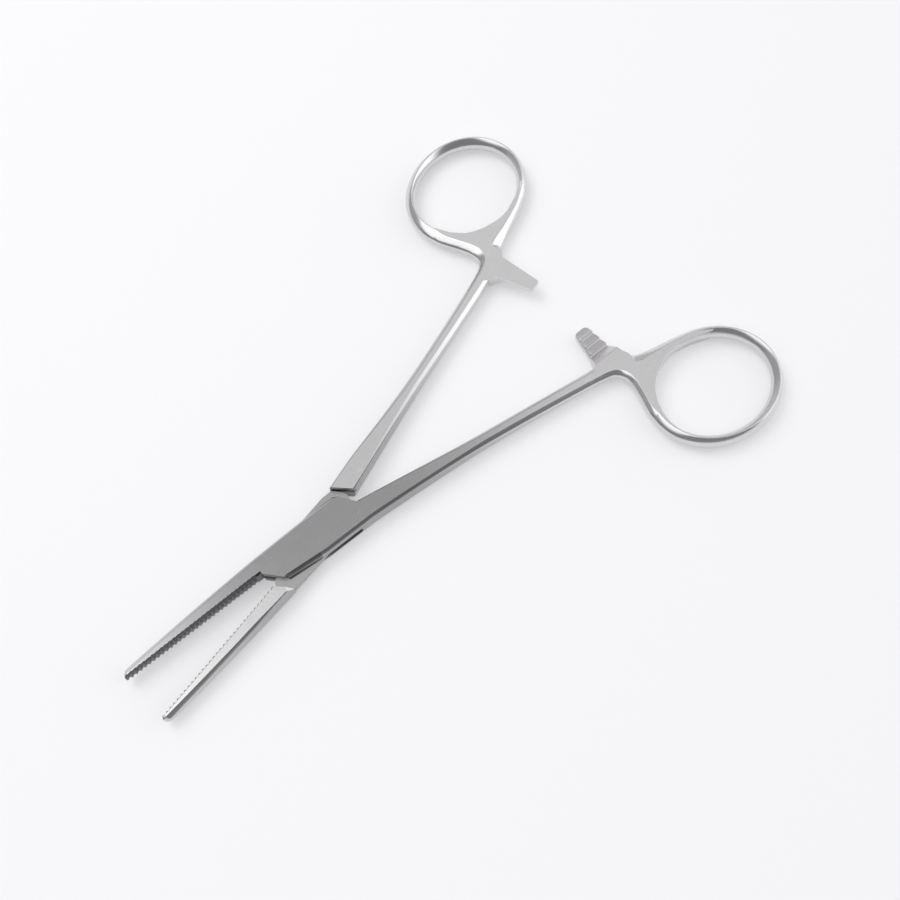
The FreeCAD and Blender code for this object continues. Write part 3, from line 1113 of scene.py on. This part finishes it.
@dataclass
class MaleHalf(Half):
    """The half with the tongue: jaw and handle with slanted shoulders, ring and upper arm."""

    side: Side = Side.MALE
    level: int = 1
    phase: int = 1
    outer: float = 4.5
    rear_shoulder: tuple[Point, Point] = ((6.36, -3.69), (8.28, -0.67))
    front_shoulder: tuple[Point, Point] = ((-15.65, 0.1), (-13.0, 3.9))
    jaw_overlap: float = 9.0
    last_strip: float = 0.35
    facet_point: Point = (-14.35, 2.3)
    facet_slope: tuple[float, float, float] = (0.5, 0.35, 0.8)
    facet_block: float = 6.0
    relief_size: tuple[float, float, float, float] = (0.45, 0.98, 0.32, 0.5)
    relief_reach: float = 4.0
    seam_x: float = 13.0
    tongue_half: float = 0.75
    tongue_inset: float = 0.06
    tongue_soft: float = 0.05
    tongue_sections: int = 40
    tongue_outer: tuple[Point, ...] = (
        (-15.3, 0.35),
        (-14.4, -0.68),
        (-4.6, -4.45),
        (3.6, -4.45),
        (6.6, -3.9),
    )
    tongue_back: tuple[Point, ...] = (
        (-15.3, 0.45),
        (-13.2, 3.45),
        (-3.0, 3.85),
        (4.3, 4.2),
        (7.2, -0.9),
    )
    inner_drop: float = 0.1
    lean_run: float = 16.0
    outer_run: float = 9.0
    soft: float = 0.06
    pin_radius: float = 1.54
    # A darker ground colour for the tongue: painted shade, as it lies sunk between the cheeks and the
    # shoulder.
    tongue_painted_shade: bpy.types.Material | None = None

    def shoulder_x(self, line: tuple[Point, Point], y: Array) -> Array:
        """The x at which a shoulder line reaches each y."""
        (start_x, start_y), (end_x, end_y) = line
        return start_x + (y - start_y) * (end_x - start_x) / (end_y - start_y)

    def jaw_piece(self, builder: Builder) -> bpy.types.Object:
        """The jaw, whose sections lean more and more towards the slanted front shoulder."""
        jaw = self.jaw
        start_x = float(self.shoulder_x(self.front_shoulder, np.array(jaw.gap)))
        stations = jaw.stations()
        x = np.concatenate([stations[stations < start_x], [start_x - self.last_strip, start_x]])
        shear = float(self.shoulder_x(self.front_shoulder, np.array(jaw.root_back))) - start_x
        left_x = x + shear * eased(1 - (start_x - x) / self.jaw_overlap)
        flat = jaw.half(0.5 * (x + left_x))
        bar = Bar(
            np.stack([x, jaw.toothed_side(x, self.phase)], axis=1),
            np.stack([left_x, jaw.back(left_x)], axis=1),
            Flank(jaw.toothed_inset(x, self.phase), flat, jaw.tooth_swell, jaw.tooth_pull),
            Flank(jaw.back_inset(x), flat, jaw.swell(x), jaw.pull),
            self.soft,
        )
        parts = shell(bar.grid(), bar.zones(toothed=len(x)))
        made = builder.piece("male_jaw", self.side, parts, self.finishes)
        for up in (1, -1):
            builder.cut(made, self.facet(builder, up))
        return self.finish(builder, made)

    def facet(self, builder: Builder, up: int) -> bpy.types.Object:
        """A block whose lower face is the small facet where the shoulder meets the jaw's flank.

        Args:
            builder: Makes the block.
            up: 1 for the facet above, -1 for the one below.

        Returns:
            The block.
        """
        slope = np.array([*self.facet_slope[:2], up * self.facet_slope[2]])
        slope /= np.linalg.norm(slope)
        level = np.array([-slope[1], slope[0], 0.0]) / math.hypot(slope[0], slope[1])
        rising = np.cross(slope, level)
        corner = np.array([*self.facet_point, up * self.box_half])
        turns = ((-1, -1), (1, -1), (1, 1), (-1, 1))
        face = np.array([corner + self.facet_block * (a * level + b * rising) for a, b in turns])
        block = np.stack([face, face + self.facet_block * slope])
        return builder.piece("facet", self.side, shell(block, striped=False), self.finishes)

    def tongue_piece(self, builder: Builder) -> bpy.types.Object:
        """The thin tongue between the cheeks, with the pin's hole."""
        right, left = (
            through_corners(knots, self.tongue_sections) for knots in (self.tongue_outer, self.tongue_back)
        )
        wall = Flank(self.tongue_inset, np.full(len(right), self.tongue_half))
        bar = Bar(right, left, wall, wall, self.tongue_soft, flank_rows=5, flat_rows=4)
        # The tongue's flats take the darker colour: painted shade.
        finishes = [self.tongue_painted_shade or self.finishes[0], *self.finishes[1:]]
        made = builder.piece("male_tongue", self.side, shell(bar.grid()), finishes)
        builder.cut(made, self.relief(builder))
        builder.cut(made, self.pin_hole(builder))
        return self.finish(builder, made)

    def handle_pieces(self, builder: Builder) -> list[bpy.types.Object]:
        """Shank and web. The first sections lean with the slanted rear shoulder.

        Args:
            builder: Makes and cuts the pieces.

        Returns:
            The shoulder and the rest of the handle.
        """
        shank = self.shank
        ends_y = (-self.outer, -shank.inner - self.inner_drop)
        right_start, left_start = (float(self.shoulder_x(self.rear_shoulder, np.array(y))) for y in ends_y)
        middle = np.arange(0.5 * (right_start + left_start), shank.end, self.shank_step)
        lean = 1 - eased((middle - middle[0]) / self.lean_run)
        right_x = middle - 0.5 * (left_start - right_start) * lean
        left_x = middle + 0.5 * (left_start - right_start) * lean
        near = 1 - eased((right_x - right_start) / self.outer_run)
        outer = shank.inner + shank.root_width - self.outer
        right_y = shank.centre(right_x) - shank.width(right_x) / 2 + outer * near
        left_y = shank.centre(left_x) + shank.width(left_x) / 2
        swell = shank.root_swell + (shank.end_swell - shank.root_swell) * shank.rounded(middle)
        flank = Flank(shank.inset(middle), shank.half(middle), swell, shank.pull)
        sides = (np.stack(side, axis=1) for side in ((right_x, right_y), (left_x, left_y)))
        bar = Bar(*sides, flank, flank, self.ring.soft)
        bar = Bar.chain(bar, self.web_bar(bar))
        names = ("male_shoulder", "male_handle")
        seam_x = float(right_x[int(np.searchsorted(middle, self.seam_x))])
        # The shoulder's end faces take the dark toothed colour: painted shade on the rear shoulder.
        shoulder, handle = self.split(builder, bar, bar.zones(), seam_x, names, Zone.TOOTHED)
        builder.cut(shoulder, self.relief(builder))
        return [self.finish(builder, shoulder), self.finish(builder, handle)]

    def relief(self, builder: Builder) -> bpy.types.Object:
        """A block that cuts the relief groove along the upper foot of the rear shoulder."""
        low, high, before, behind = self.relief_size
        start, end = (np.array(point) for point in self.rear_shoulder)
        along = (end - start) / np.linalg.norm(end - start)
        inwards = np.array([along[1], -along[0]])
        first, last = start - self.relief_reach * along, end + self.relief_reach * along
        front, back = -before * inwards, behind * inwards
        plan = np.array([first + front, last + front, last + back, first + back])
        # The groove takes the dark hidden colour: painted shade under the shoulder.
        return self.prism(builder, "relief", plan, (low, high), Zone.HIDDEN)


class Net:
    """A small helper that adds nodes to a tree and links them."""

    def __init__(self, tree: bpy.types.NodeTree) -> None:
        """Starts with an empty tree."""
        self.tree = tree
        tree.nodes.clear()

    def node(self, kind: str, inputs: dict | None = None, **settings: object) -> bpy.types.Node:
        """Adds a node.

        Args:
            kind: The node's type.
            inputs: Values or output sockets by input name or number.
            **settings: Properties of the node.

        Returns:
            The node.
        """
        made = self.tree.nodes.new(kind)
        for name, value in settings.items():
            setattr(made, name, value)
        for key, value in (inputs or {}).items():
            if isinstance(value, bpy.types.NodeSocket):
                self.tree.links.new(value, made.inputs[key])
            else:
                made.inputs[key].default_value = value
        return made

    def math(self, operation: str, *values: object) -> bpy.types.NodeSocket:
        """The result of a math node."""
        return self.node("ShaderNodeMath", dict(enumerate(values)), operation=operation).outputs[0]

    def dot(self, first: object, second: object) -> bpy.types.NodeSocket:
        """The dot product of two vectors."""
        made = self.node("ShaderNodeVectorMath", {0: first, 1: second}, operation="DOT_PRODUCT")
        return made.outputs["Value"]

    def mixed(self, share: object, first: object, second: object) -> bpy.types.NodeSocket:
        """A value that goes from the first to the second with the share."""
        return self.node("ShaderNodeMix", {0: share, 2: first, 3: second}).outputs[0]

    def mapped(self, vector: bpy.types.NodeSocket, turn: float, scale: tuple) -> bpy.types.NodeSocket:
        """A vector that is first scaled and then turned about z by an angle in radians."""
        inputs = {"Vector": vector, "Rotation": (0.0, 0.0, turn), "Scale": scale}
        return self.node("ShaderNodeMapping", inputs).outputs[0]

    def span(
        self, value: bpy.types.NodeSocket, low: float, high: float, first: float, last: float
    ) -> bpy.types.NodeSocket:
        """Maps low..high of a value smoothly to first..last."""
        inputs = {"Value": value, "From Min": low, "From Max": high, "To Min": first, "To Max": last}
        made = self.node("ShaderNodeMapRange", inputs, interpolation_type="SMOOTHSTEP")
        return made.outputs[0]

    def noise(self, vector: bpy.types.NodeSocket, scale: float, detail: float = 2.0) -> bpy.types.NodeSocket:
        """The value of a noise texture."""
        inputs = {"Vector": vector, "Scale": scale, "Detail": detail}
        return self.node("ShaderNodeTexNoise", inputs).outputs[0]


@dataclass(frozen=True)
class Steel:
    """A satin stainless steel finish: fine streaks along the piece, soft blotches, a fine grain and painted
    shade towards the box lock.

    Attributes:
        name: The material's name.
        colour: Base colour.
        roughness: Mean roughness.
        turn: Direction of the streaks, in degrees from +x.
        streak: How strongly the streaks change the roughness.
        blotch: How strongly soft blotches change the colour.
        bump: Height of the grain, in metres.
        shade: Base colour's factor over the box lock, where x is near 0. This is painted shade, which fades
            out along the piece.
        scuff: How much lighter fine straight scuffs are.
        streak_scale: Streaks per metre along the piece, across it and in height.
        streak_tint: Colour factors of the darkest and the lightest streaks.
        blotch_scale: Blotches per metre.
        blotch_roughness: How strongly the blotches change the roughness.
        grain_scale: Grains per metre.
        shade_run: Distances along x, in metres, between which the painted shade fades.
        scuff_turn: Turn of the cells' pattern in radians. It comes after the scaling, so that the
            scuffs still run along x.
        scuff_scale: Cells per metre along x, along y and in height.
        scuff_width: Width of a scuff, as a share of a cell.
        scuff_patches: Patches with scuffs per metre.
    """

    name: str
    colour: tuple[float, float, float]
    roughness: float = 0.27
    turn: float = 0.0
    streak: float = 0.04
    blotch: float = 0.03
    bump: float = 5e-7
    shade: float = 1.0
    scuff: float = 0.07
    streak_scale: tuple[float, float, float] = (120.0, 5200.0, 5200.0)
    streak_tint: Point = (0.98, 1.015)
    blotch_scale: float = 420.0
    blotch_roughness: float = 0.04
    grain_scale: float = 4500.0
    shade_run: Point = (0.012, 0.06)
    scuff_turn: float = 0.75
    scuff_scale: tuple[float, float, float] = (90.0, 1500.0, 90.0)
    scuff_width: float = 0.05
    scuff_patches: float = 300.0

    def material(self) -> bpy.types.Material:
        """Builds the node material."""
        made = bpy.data.materials.new(self.name)
        made.use_nodes = True
        net = Net(made.node_tree)
        where = net.node("ShaderNodeTexCoord").outputs["Object"]
        turned = net.mapped(where, math.radians(-self.turn), (1.0, 1.0, 1.0))
        streaks = net.noise(net.mapped(turned, 0.0, self.streak_scale), 1.0, 3.0)
        blotches = net.noise(where, self.blotch_scale, 4.0)
        grain = net.noise(where, self.grain_scale, 2.0)

        smoothest = self.roughness - 0.5 * self.streak
        rough = net.math("ADD", smoothest, net.math("MULTIPLY", streaks, self.streak))
        uneven = net.math("MULTIPLY", net.math("SUBTRACT", blotches, 0.5), self.blotch_roughness)
        rough = net.math("ADD", rough, uneven)

        # Painted shade: the colour is scaled by shade near the box lock, where x is near 0, and by 1 past
        # shade_run.
        along = net.node("ShaderNodeSeparateXYZ", {"Vector": where}).outputs[0]
        shade = net.span(net.math("ABSOLUTE", along), *self.shade_run, self.shade, 1.0)
        tint = net.math("ADD", 1 - 0.5 * self.blotch, net.math("MULTIPLY", blotches, self.blotch))
        tint = net.math("MULTIPLY", tint, shade)
        tint = net.math("MULTIPLY", tint, net.span(streaks, 0.3, 0.7, *self.streak_tint))
        tint = net.math("ADD", tint, self.scuffs(net, where))
        scaled = {0: self.colour, "Scale": tint}
        colour = net.node("ShaderNodeVectorMath", scaled, operation="SCALE").outputs[0]

        height = net.math("ADD", net.math("MULTIPLY", streaks, 0.7), net.math("MULTIPLY", grain, 0.3))
        raised = {"Height": height, "Distance": self.bump, "Strength": 1.0}
        bump = net.node("ShaderNodeBump", raised).outputs[0]
        surface = {"Base Color": colour, "Metallic": 1.0, "Roughness": rough, "Normal": bump}
        shader = net.node("ShaderNodeBsdfPrincipled", surface)
        net.node("ShaderNodeOutputMaterial", {"Surface": shader.outputs[0]})
        return made

    def scuffs(self, net: Net, where: bpy.types.NodeSocket) -> bpy.types.NodeSocket:
        """Fine straight scuffs: the edges of long narrow cells, shown in patches.

        Args:
            net: The material's tree.
            where: Places on the object.

        Returns:
            How much lighter each place is.
        """
        stretched = net.mapped(where, self.scuff_turn, self.scuff_scale)
        inputs = {"Vector": stretched, "Scale": 1.0}
        cells = net.node("ShaderNodeTexVoronoi", inputs, feature="DISTANCE_TO_EDGE")
        lines = net.span(cells.outputs["Distance"], 0.0, self.scuff_width, self.scuff, 0.0)
        patches = net.span(net.noise(where, self.scuff_patches), 0.5, 0.68, 0.0, 1.0)
        return net.math("MULTIPLY", lines, patches)


@dataclass(frozen=True)
class Finishes:
    """The finishes of one half, by zone. The dark toothed, hidden and shaded colours are painted shade."""

    ground: Steel
    polished: Steel
    toothed: Steel
    hidden: Steel
    shaded: Steel

    def materials(self) -> list[bpy.types.Material]:
        """One material for each zone, in the order of the zones."""
        steels = (self.ground, self.polished, self.toothed, self.hidden, self.shaded)
        return [steel.material() for steel in steels]


@dataclass
class Studio:
    """The table, the light and the camera.

    Attributes:
        camera: Camera position in millimetres.
        target: Point in the middle of the picture.
        up: Direction of the picture's vertical, over the table.
        right: Direction of the picture's horizontal, over the table.
        lens: Focal length in millimetres.
        sensor: Width of the sensor in millimetres.
        zenith: Brightness of the dome overhead.
        sides: Its brightness low down on the right, above, on the left and in front.
        horizon_low: Height in the dome, as a sine, at which the sides start to turn into the zenith.
        horizon_high: Height at which they have turned into it.
        front_low: Height at which the dim front starts to fade.
        front_high: Height at which it has faded.
        window: Direction of the window: parts of right, up and height.
        window_edge: Cosines of the angles from its middle at which the window starts and is full.
        window_level: What the window adds to the dome.
        floor_size: Half of the table's width, in metres.
        floor_colour: The table's colour.
        floor_blue: Factor on its blue.
        floor_glow: How much of the table's own white the camera sees.
        floor_white: That white's brightness, and the dome's behind the table.
        lamp_place: Place of the lamp in metres: parts of right, up and height.
        lamp_target: The point that it shines at.
        lamp_size: Its diameter in metres.
        lamp_power: Its power in watts.
    """

    camera: tuple[float, float, float] = (-26.56, -58.40, 183.7)
    target: tuple[float, float, float] = (28.62, -5.28, 0.0)
    up: tuple[float, float, float] = (0.7204, 0.6935, 0.0)
    right: tuple[float, float, float] = (0.6935, -0.7204, 0.0)
    lens: float = 39.41
    sensor: float = 36.0
    zenith: float = 0.84
    sides: tuple[float, float, float, float] = (1.5, 0.6, 0.42, 0.25)
    horizon_low: float = 0.66
    horizon_high: float = 0.88
    front_low: float = 0.84
    front_high: float = 0.96
    window: tuple[float, float, float] = (-0.42, -0.34, 0.84)
    window_edge: Point = (0.83, 0.93)
    window_level: float = 1.1
    floor_size: float = 1.6
    floor_colour: float = 0.83
    floor_blue: float = 1.03
    floor_glow: float = 0.36
    floor_white: float = 1.0
    lamp_place: tuple[float, float, float] = (-0.45, 0.35, 0.75)
    lamp_target: tuple[float, float, float] = (0.03, 0.0, 0.0)
    lamp_size: float = 0.6
    lamp_power: float = 3.0

    def towards(self, parts: tuple[float, float, float]) -> Vector:
        """The direction that is made of parts of the picture's right, its up and height."""
        return Vector(self.right) * parts[0] + Vector(self.up) * parts[1] + Vector((0, 0, parts[2]))

    def set_camera(self) -> None:
        """Adds the camera where the photograph was taken."""
        data = bpy.data.cameras.new("camera")
        data.sensor_width = self.sensor
        data.lens = self.lens
        data.clip_start = 0.01
        camera = bpy.data.objects.new("camera", data)
        place, target = Vector(self.camera) * MM, Vector(self.target) * MM
        forward = (target - place).normalized()
        side = forward.cross(Vector(self.up)).normalized()
        above = side.cross(forward)
        camera.matrix_world = (
            (side.x, above.x, -forward.x, place.x),
            (side.y, above.y, -forward.y, place.y),
            (side.z, above.z, -forward.z, place.z),
            (0.0, 0.0, 0.0, 1.0),
        )
        camera.matrix_world.transpose()
        bpy.context.scene.collection.objects.link(camera)
        bpy.context.scene.camera = camera

    def set_world(self) -> None:
        """A soft dome: even overhead, bright low on the right, dim in front, a window high on the left."""
        world = bpy.data.worlds.new("studio")
        world.use_nodes = True
        net = Net(world.node_tree)
        way = net.node("ShaderNodeTexCoord").outputs["Generated"]
        height = net.node("ShaderNodeSeparateXYZ", {"Vector": way}).outputs[2]
        inputs = {0: way, 1: (1.0, 1.0, 0.0)}
        flat = net.node("ShaderNodeVectorMath", inputs, operation="MULTIPLY").outputs[0]
        flat = net.node("ShaderNodeVectorMath", {0: flat}, operation="NORMALIZE").outputs[0]
        across, upward = net.dot(flat, self.right), net.dot(flat, self.up)
        right, above, left, front = self.sides
        sideways = net.span(across, -0.7, 0.8, left, right)
        level = net.mixed(net.span(upward, 0.4, 0.95, 0.0, 1.0), sideways, above)
        rise = net.span(height, self.horizon_low, self.horizon_high, 0.0, 1.0)
        level = net.mixed(rise, level, self.zenith)
        low = net.span(height, self.front_low, self.front_high, 1.0, 0.0)
        ahead = net.math("MULTIPLY", net.span(upward, -0.14, -0.5, 0.0, 1.0), low)
        level = net.mixed(ahead, level, front)
        facing = net.dot(way, self.towards(self.window).normalized())
        level = net.math("ADD", level, net.span(facing, *self.window_edge, 0.0, self.window_level))
        glow = net.node("ShaderNodeBackground", {"Color": WHITE, "Strength": level})
        plain = net.node("ShaderNodeBackground", {"Color": WHITE, "Strength": self.floor_white})
        seen = net.node("ShaderNodeLightPath").outputs["Is Camera Ray"]
        mixed = net.node("ShaderNodeMixShader", {0: seen, 1: glow.outputs[0], 2: plain.outputs[0]})
        net.node("ShaderNodeOutputWorld", {"Surface": mixed.outputs[0]})
        bpy.context.scene.world = world

    def set_floor(self) -> None:
        """A pale table that keeps the object's shadow."""
        mesh = bpy.data.meshes.new("floor")
        size = self.floor_size
        corners = [(-size, -size, 0.0), (size, -size, 0.0), (size, size, 0.0), (-size, size, 0.0)]
        mesh.from_pydata(corners, [], [(0, 1, 2, 3)])
        floor = bpy.data.objects.new("floor", mesh)
        bpy.context.scene.collection.objects.link(floor)
        made = bpy.data.materials.new("floor")
        made.use_nodes = True
        net = Net(made.node_tree)
        colour = (self.floor_colour, self.floor_colour, self.floor_blue * self.floor_colour, 1.0)
        paper = net.node("ShaderNodeBsdfDiffuse", {"Color": colour})
        glow = net.node("ShaderNodeEmission", {"Color": WHITE, "Strength": self.floor_white})
        path = net.node("ShaderNodeLightPath").outputs
        seen = net.math("MAXIMUM", path["Is Camera Ray"], path["Is Glossy Ray"])
        seen = net.math("MAXIMUM", seen, path["Is Transmission Ray"])
        share = net.math("MULTIPLY", seen, self.floor_glow)
        mixed = net.node("ShaderNodeMixShader", {0: share, 1: paper.outputs[0], 2: glow.outputs[0]})
        net.node("ShaderNodeOutputMaterial", {"Surface": mixed.outputs[0]})
        mesh.materials.append(made)

    def set_lamp(self) -> None:
        """One large soft lamp from the upper left, which gives the shadow its side."""
        data = bpy.data.lights.new("softbox", "AREA")
        data.shape = "DISK"
        data.size = self.lamp_size
        data.energy = self.lamp_power
        lamp = bpy.data.objects.new("softbox", data)
        lamp.visible_glossy = False
        place = self.towards(self.lamp_place)
        lamp.location = place
        lamp.rotation_euler = (Vector(self.lamp_target) - place).to_track_quat("-Z", "Y").to_euler()
        bpy.context.scene.collection.objects.link(lamp)


def female_finishes(turn: float) -> Finishes:
    """The female half's finishes, with streaks at an angle in degrees."""
    return Finishes(
        # The shade factors darken the ground and polished colours near the box lock: painted shade.
        ground=Steel("female_ground", (0.66, 0.65, 0.66), turn=turn, shade=0.52),
        polished=Steel("female_polished", (0.7, 0.7, 0.71), roughness=0.2, turn=turn, shade=0.55),
        # Dark toothed colour: painted shade on the teeth and on the box's front face, with a real rougher
        # finish.
        toothed=Steel("female_toothed", (0.16, 0.16, 0.17), roughness=0.35, turn=turn),
        # Dark hidden colour: painted shade in the slot.
        hidden=Steel("female_hidden", (0.33, 0.33, 0.33), roughness=0.4, turn=turn),
        # Dark shaded colour: painted shade on the cheeks' front flank.
        shaded=Steel("female_shaded", (0.22, 0.22, 0.225), turn=turn),
    )


def male_finishes(turn: float) -> Finishes:
    """The male half's finishes, with streaks at an angle in degrees."""
    return Finishes(
        # The shade factors darken the ground and polished colours near the box lock: painted shade.
        ground=Steel("male_ground", (0.7, 0.7, 0.705), turn=turn, shade=0.86),
        polished=Steel("male_polished", (0.7, 0.7, 0.71), roughness=0.2, turn=turn, shade=0.6),
        # Dark toothed colour: painted shade on the teeth and on the shoulder's end faces, with a real rougher
        # finish.
        toothed=Steel("male_toothed", (0.3, 0.3, 0.31), roughness=0.35, turn=turn),
        # Very dark hidden colour: painted shade in the relief groove under the shoulder.
        hidden=Steel("male_hidden", (0.1, 0.1, 0.1), roughness=0.4, turn=turn),
        # The male shaded colour is painted shade as well, though no male face takes it.
        shaded=Steel("male_shaded", (0.3, 0.3, 0.305), turn=turn),
    )


def male_ring() -> Ring:
    """The male half's ring, whose web has a wider outer flank."""
    return Ring(
        outer_inset=(
            (0.0, 0.95),
            (0.1, 0.9),
            (0.2, 1.2),
            (0.3, 1.7),
            (0.4, 2.1),
            (0.54, 2.1),
            (0.71, 2.0),
            (1.0, 1.75),
        )
    )


def male_arm() -> Arm:
    """The upper arm, which is a little shorter and squarer than the lower one."""
    return Arm(
        root=-10.0,
        tip=0.45,
        round_tip=0.4,
        shank_side=(
            (-10.0, 62.6),
            (-9.35, 61.4),
            (-8.95, 62.0),
            (-8.5, 62.7),
            (-8.1, 63.3),
            (-7.6, 63.85),
            (-7.0, 64.3),
            (-5.0, 64.95),
            (0.45, 66.3),
        ),
        ring_side=((-10.0, 69.35), (-9.0, 69.25), (0.45, 69.11)),
    )


def main() -> None:
    """Builds the forceps, its table, lights and camera."""
    logging.basicConfig(level=logging.INFO, format="%(message)s")
    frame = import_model()
    joint = frame["joints"][0]
    pin_low, pin_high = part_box("pivot_pin")
    builder = Builder(opening=-joint["range_deg"][0], lift=(pin_low.z + pin_high.z) / 2 / MM)
    turn = builder.opening / 2
    female = FemaleHalf(finishes=female_finishes(-turn).materials(), ring=Ring(wide_inset=1.3))
    female.blade(builder)
    female.finger_ring(builder)
    female.ratchet_arm(builder)
    # A darker steel for the tongue's flats: painted shade.
    tongue_shade_steel = Steel("male_tongue", (0.42, 0.42, 0.425), turn=turn)
    male = MaleHalf(
        finishes=male_finishes(turn).materials(),
        ring=male_ring(),
        arm=male_arm(),
        tongue_painted_shade=tongue_shade_steel.material(),
    )
    male.jaw_piece(builder)
    male.tongue_piece(builder)
    male.handle_pieces(builder)
    male.finger_ring(builder)
    male.ratchet_arm(builder)
    pin = frame["nodes"]["pivot_pin"]
    pin.data.materials.clear()
    pin.data.materials.append(female.finishes[Zone.GROUND.value])
    studio = Studio()
    studio.set_floor()
    studio.set_world()
    studio.set_lamp()
    studio.set_camera()
    bpy.context.scene.view_settings.view_transform = "Standard"


if __name__ == "__main__":
    main()
